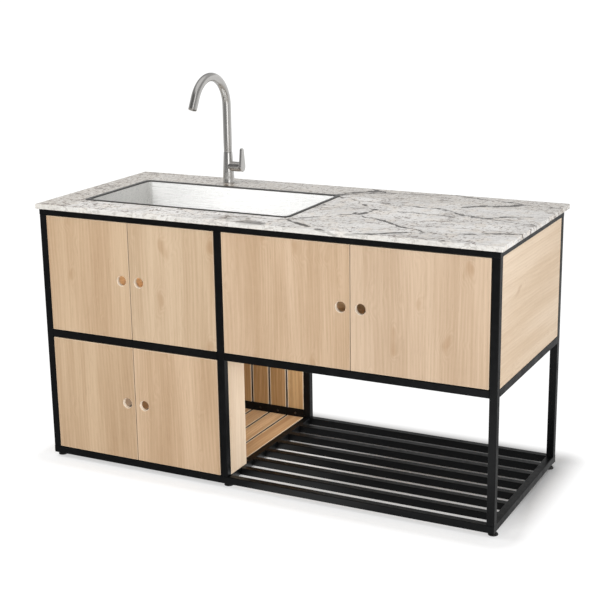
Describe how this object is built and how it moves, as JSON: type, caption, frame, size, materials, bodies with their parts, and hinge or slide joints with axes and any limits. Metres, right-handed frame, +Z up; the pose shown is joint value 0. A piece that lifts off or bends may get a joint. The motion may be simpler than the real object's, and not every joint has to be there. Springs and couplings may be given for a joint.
{
  "type": "kitchen base cabinet",
  "caption": "Outdoor kitchen base cabinet: black square-tube frame, inset oak doors with finger holes, open bar shelf, stone worktop, inset steel sink and gooseneck mixer tap.",
  "frame": {"origin": "on the floor, under the middle of the worktop's outline", "axes": "+X along the front to the right for someone facing the doors, +Y from the front to the back, +Z up"},
  "size_m": [1.64, 0.68, 1.3071],
  "materials": {
    "black_steel": "fine-textured black powder coat",
    "black_plastic": "matt black",
    "pale_timber": "pale oak, clear matt oil",
    "slat_timber": "darker oak, oiled",
    "stone": "pale grey veined stone, polished",
    "steel_sheet": "satin stainless steel sheet",
    "brushed_steel": "brushed stainless steel",
    "hinge_steel": "nickel-plated"
  },
  "bodies": {
    "cabinet": {"front_left_post": "black_steel", "front_middle_post": "black_steel", "front_right_post": "black_steel", "back_left_post": "black_steel", "back_middle_post": "black_steel", "back_right_post": "black_steel", "front_top_rail": "black_steel", "back_top_rail": "black_steel", "left_top_rail": "black_steel", "right_top_rail": "black_steel", "front_left_mid_rail": "black_steel", "front_right_mid_rail": "black_steel", "back_left_mid_rail": "black_steel", "back_right_mid_rail": "black_steel", "left_mid_rail": "black_steel", "right_mid_rail": "black_steel", "front_bottom_rail": "black_steel", "back_bottom_rail": "black_steel", "left_bottom_rail": "black_steel", "shelf_grid": "black_steel", "front_left_foot": "black_plastic", "front_middle_foot": "black_plastic", "front_right_foot": "black_plastic", "back_left_foot": "black_plastic", "back_middle_foot": "black_plastic", "back_right_foot": "black_plastic", "worktop": "stone", "sink": "steel_sheet", "tap_body": "brushed_steel", "left_upper_side_panel": "pale_timber", "left_lower_side_panel": "pale_timber", "right_side_panel": "pale_timber", "upper_floor": "pale_timber", "upper_back_panel": "pale_timber", "upper_cheek": "pale_timber", "lower_cheek": "pale_timber", "slatted_floor": "slat_timber", "slatted_back": "slat_timber", "upper_left_bay_left_door_bottom_hinge_arm": "hinge_steel", "upper_left_bay_left_door_top_hinge_arm": "hinge_steel", "upper_left_bay_right_door_bottom_hinge_arm": "hinge_steel", "upper_left_bay_right_door_top_hinge_arm": "hinge_steel", "upper_right_bay_left_door_bottom_hinge_arm": "hinge_steel", "upper_right_bay_left_door_top_hinge_arm": "hinge_steel", "upper_right_bay_right_door_bottom_hinge_arm": "hinge_steel", "upper_right_bay_right_door_top_hinge_arm": "hinge_steel", "lower_left_bay_left_door_bottom_hinge_arm": "hinge_steel", "lower_left_bay_left_door_top_hinge_arm": "hinge_steel", "lower_left_bay_right_door_bottom_hinge_arm": "hinge_steel", "lower_left_bay_right_door_top_hinge_arm": "hinge_steel"},
    "upper_left_bay_left_door": {"upper_left_bay_left_door": "pale_timber"},
    "upper_left_bay_right_door": {"upper_left_bay_right_door": "pale_timber"},
    "upper_right_bay_left_door": {"upper_right_bay_left_door": "pale_timber"},
    "upper_right_bay_right_door": {"upper_right_bay_right_door": "pale_timber"},
    "lower_left_bay_left_door": {"lower_left_bay_left_door": "pale_timber"},
    "lower_left_bay_right_door": {"lower_left_bay_right_door": "pale_timber"},
    "tap_spout": {"tap_spout": "brushed_steel"},
    "tap_stem": {"tap_stem": "brushed_steel"},
    "tap_lever": {"tap_lever": "brushed_steel"},
    "sink_strainer": {"sink_strainer": "steel_sheet"}
  },
  "joints": [
    {"name": "upper_left_bay_left_door_swing", "type": "hinge", "parent": "cabinet", "child": "upper_left_bay_left_door", "pos_m": [-0.781, -0.33, 0.6687], "axis": [0, 0, -1], "range_deg": [0, 105]},
    {"name": "upper_left_bay_right_door_swing", "type": "hinge", "parent": "cabinet", "child": "upper_left_bay_right_door", "pos_m": [-0.139, -0.33, 0.6687], "axis": [0, 0, 1], "range_deg": [0, 90]},
    {"name": "upper_right_bay_left_door_swing", "type": "hinge", "parent": "cabinet", "child": "upper_right_bay_left_door", "pos_m": [-0.106, -0.33, 0.6687], "axis": [0, 0, -1], "range_deg": [0, 90]},
    {"name": "upper_right_bay_right_door_swing", "type": "hinge", "parent": "cabinet", "child": "upper_right_bay_right_door", "pos_m": [0.781, -0.33, 0.6687], "axis": [0, 0, 1], "range_deg": [0, 105]},
    {"name": "lower_left_bay_left_door_swing", "type": "hinge", "parent": "cabinet", "child": "lower_left_bay_left_door", "pos_m": [-0.781, -0.33, 0.2415], "axis": [0, 0, -1], "range_deg": [0, 105]},
    {"name": "lower_left_bay_right_door_swing", "type": "hinge", "parent": "cabinet", "child": "lower_left_bay_right_door", "pos_m": [-0.139, -0.33, 0.2415], "axis": [0, 0, 1], "range_deg": [0, 90]},
    {"name": "spout_swivel", "type": "hinge", "parent": "cabinet", "child": "tap_spout", "pos_m": [-0.413, 0.262, 1.015], "axis": [0, 0, 1], "range_deg": [-60, 60]},
    {"name": "tap_temperature", "type": "hinge", "parent": "cabinet", "child": "tap_stem", "pos_m": [-0.3615, 0.262, 0.964], "axis": [1, 0, 0], "range_deg": [-45, 45]},
    {"name": "tap_flow", "type": "hinge", "parent": "tap_stem", "child": "tap_lever", "pos_m": [-0.3615, 0.262, 0.964], "axis": [0, 1, 0], "range_deg": [0, 15]},
    {"name": "strainer_lift", "type": "slide", "parent": "cabinet", "child": "sink_strainer", "axis": [0, 0, 1], "range_m": [0, 0.06]}
  ]
}
